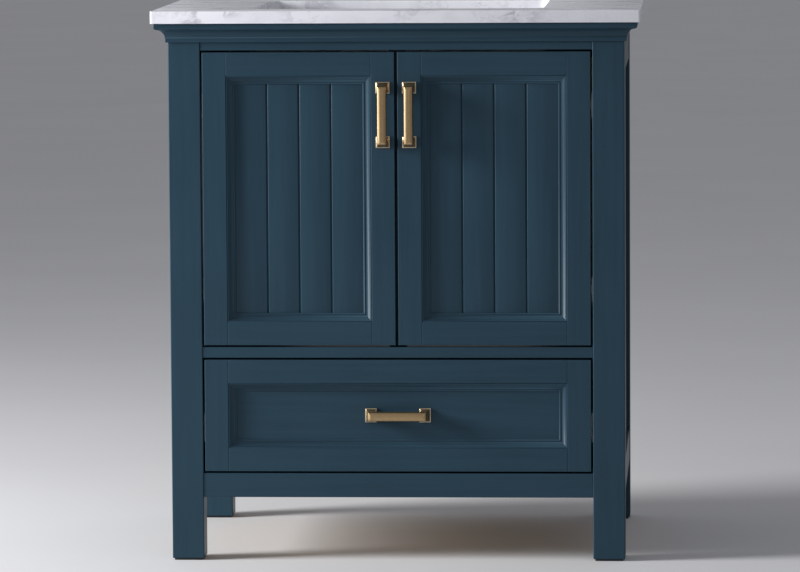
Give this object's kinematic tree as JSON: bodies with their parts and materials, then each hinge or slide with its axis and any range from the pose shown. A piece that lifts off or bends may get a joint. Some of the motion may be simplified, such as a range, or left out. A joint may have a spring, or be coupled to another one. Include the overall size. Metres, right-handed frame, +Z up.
{
  "type": "bathroom vanity cabinet",
  "caption": "Freestanding bathroom vanity: painted cabinet on legs with beadboard doors, a wide lower drawer, a marble top with an undermount basin, and brass pulls.",
  "frame": {"origin": "on the floor at the middle of the object's footprint, pulls included", "axes": "+Z up, the front faces -Y, +X is to the right as seen from the front"},
  "size_m": [0.762, 0.562, 0.864],
  "materials": {
    "painted_wood": "satin dark teal-blue paint",
    "plain_wood": "clear-coated birch plywood",
    "marble": "polished white marble with grey veins",
    "ceramic": "gloss white glaze",
    "brass": "brushed antique brass",
    "steel": "zinc-plated steel",
    "pad_plastic": "matt black"
  },
  "bodies": {
    "cabinet": {"back_left_leg": "painted_wood", "back_panel": "plain_wood", "back_rails": "painted_wood", "back_right_leg": "painted_wood", "basin": "ceramic", "basin_clips": "steel", "bottom_panel": "plain_wood", "cabinet_deck": "painted_wood", "corner_blocks": "plain_wood", "countertop": "marble", "crown_front": "painted_wood", "crown_left": "painted_wood", "crown_right": "painted_wood", "door_stop_post": "painted_wood", "foot_pads": "pad_plastic", "front_apron_rail": "painted_wood", "front_left_leg": "painted_wood", "front_middle_rail": "painted_wood", "front_right_leg": "painted_wood", "front_top_rail": "painted_wood", "hinge_arms": "steel", "hinge_plates": "steel", "left_side_panel": "painted_wood", "left_side_rails": "painted_wood", "right_side_panel": "painted_wood", "right_side_rails": "painted_wood", "slide_cabinet_members": "steel", "slide_spacers": "plain_wood"},
    "left_door": {"left_door_inner_stile": "painted_wood", "left_door_outer_stile": "painted_wood", "left_door_top_rail": "painted_wood", "left_door_bottom_rail": "painted_wood", "left_door_panel": "painted_wood", "left_door_moulding": "painted_wood", "left_door_pull": "brass", "left_door_pull_screws": "steel", "left_door_hinge_cups": "steel"},
    "right_door": {"right_door_inner_stile": "painted_wood", "right_door_outer_stile": "painted_wood", "right_door_top_rail": "painted_wood", "right_door_bottom_rail": "painted_wood", "right_door_panel": "painted_wood", "right_door_moulding": "painted_wood", "right_door_pull": "brass", "right_door_pull_screws": "steel", "right_door_hinge_cups": "steel"},
    "left_links": {"left_hinge_links": "steel"},
    "right_links": {"right_hinge_links": "steel"},
    "drawer": {"drawer_box_back": "plain_wood", "drawer_box_bottom": "plain_wood", "drawer_box_front": "plain_wood", "drawer_box_sides": "plain_wood", "drawer_front_moulding": "painted_wood", "drawer_front_panel": "painted_wood", "drawer_front_rails": "painted_wood", "drawer_front_stiles": "painted_wood", "drawer_pull": "brass", "drawer_pull_screws": "steel", "slide_drawer_members": "steel"},
    "slide_middles": {"slide_middle_members": "steel"}
  },
  "joints": [
    {"name": "left_door_hinge", "type": "hinge", "parent": "cabinet", "child": "left_door", "pos_m": [-0.2887, -0.2445, 0.5695], "axis": [0, 0, -1], "range_deg": [0, 100]},
    {"name": "right_door_hinge", "type": "hinge", "parent": "cabinet", "child": "right_door", "pos_m": [0.2887, -0.2445, 0.5695], "axis": [0, 0, 1], "range_deg": [0, 100]},
    {"name": "left_link_turn", "type": "hinge", "parent": "cabinet", "child": "left_links", "pos_m": [-0.266, -0.2254, 0.5695], "axis": [0, 0, -1], "range_deg": [-25, 0]},
    {"name": "right_link_turn", "type": "hinge", "parent": "cabinet", "child": "right_links", "pos_m": [0.266, -0.2254, 0.5695], "axis": [0, 0, 1], "range_deg": [-25, 0]},
    {"name": "drawer_slide", "type": "slide", "parent": "cabinet", "child": "drawer", "axis": [0, -1, 0], "range_m": [0, 0.36]},
    {"name": "slide_middle_travel", "type": "slide", "parent": "cabinet", "child": "slide_middles", "axis": [0, -1, 0], "range_m": [0, 0.18]}
  ],
  "couplings": [
    {"joint": "left_link_turn", "follows": "left_door_hinge", "ratio": -0.25},
    {"joint": "right_link_turn", "follows": "right_door_hinge", "ratio": -0.25},
    {"joint": "slide_middle_travel", "follows": "drawer_slide", "ratio": 0.5}
  ]
}
